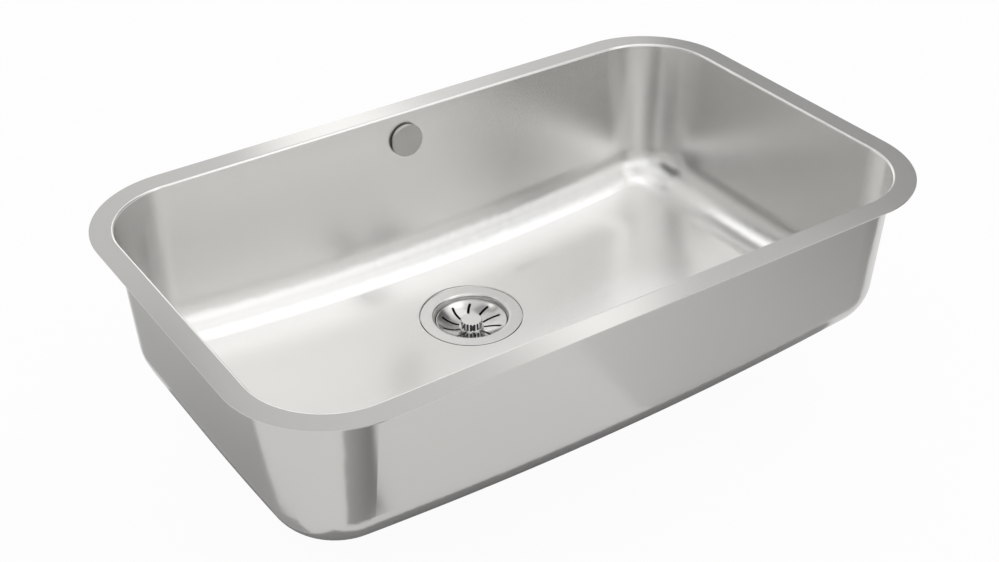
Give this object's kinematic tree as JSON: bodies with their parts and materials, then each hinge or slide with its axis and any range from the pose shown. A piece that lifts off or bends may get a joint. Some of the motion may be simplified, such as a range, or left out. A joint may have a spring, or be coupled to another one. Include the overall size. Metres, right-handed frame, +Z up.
{
  "type": "undermount kitchen sink",
  "caption": "Single-bowl undermount kitchen sink of pressed steel, with a lift-out basket strainer waste at the rear and an overflow piped to the waste.",
  "frame": {"origin": "centre of the flange's top face, which lies against the underside of the worktop", "axes": "+X along the long side, +Y towards the rear wall with the overflow, +Z up out of the bowl"},
  "size_m": [0.776, 0.4874, 0.2752],
  "materials": {
    "brushed_bowl": "satin brushed stainless steel, blanked edge left bare",
    "polished_steel": "polished stainless steel",
    "chromed_knob": "bright chrome over a fluted moulding",
    "chromed_ring": "bright chrome",
    "satin_cover": "fine brushed face, plain and unmarked",
    "screw_steel": "turned stainless steel",
    "brass_thread": "machined brass",
    "seal_rubber": "smooth black rubber",
    "damping_rubber": "matt bonded damping sheet",
    "moulded_plastic": "fine-grained black moulding",
    "union_plastic": "fine-grained black moulding",
    "hose_plastic": "grey ribbed flexible hose"
  },
  "bodies": {
    "root": {"bowl": "brushed_bowl", "sound_pads": "damping_rubber", "waste_flange": "polished_steel", "waste_top_seal": "seal_rubber", "waste_under_seal": "seal_rubber", "waste_body": "moulded_plastic", "clamp_screw": "screw_steel", "screw_insert": "brass_thread", "overflow_ring": "chromed_ring", "overflow_screw": "screw_steel", "overflow_nut": "brass_thread", "overflow_seal": "seal_rubber", "overflow_elbow": "moulded_plastic", "overflow_hose": "hose_plastic", "hose_washer_top": "seal_rubber", "hose_washer_bottom": "seal_rubber", "hose_nut_top": "union_plastic", "hose_nut_bottom": "union_plastic"},
    "basket_lift": {"basket_spindle": "screw_steel", "spindle_ring": "seal_rubber", "basket_seal": "seal_rubber"},
    "basket_turn": {"basket": "polished_steel", "basket_knob": "chromed_knob"},
    "cover": {"overflow_cover": "satin_cover"}
  },
  "joints": [
    {"name": "basket_lift_out", "type": "slide", "parent": "root", "child": "basket_lift", "axis": [0, 0, 1], "range_m": [0, 0.26]},
    {"name": "basket_spin", "type": "hinge", "parent": "basket_lift", "child": "basket_turn", "pos_m": [0, 0.083, -0.211], "axis": [0, 0, 1], "continuous": true},
    {"name": "cover_pull_off", "type": "slide", "parent": "root", "child": "cover", "axis": [0, -0.9962, 0.0872], "range_m": [0, 0.06]}
  ]
}
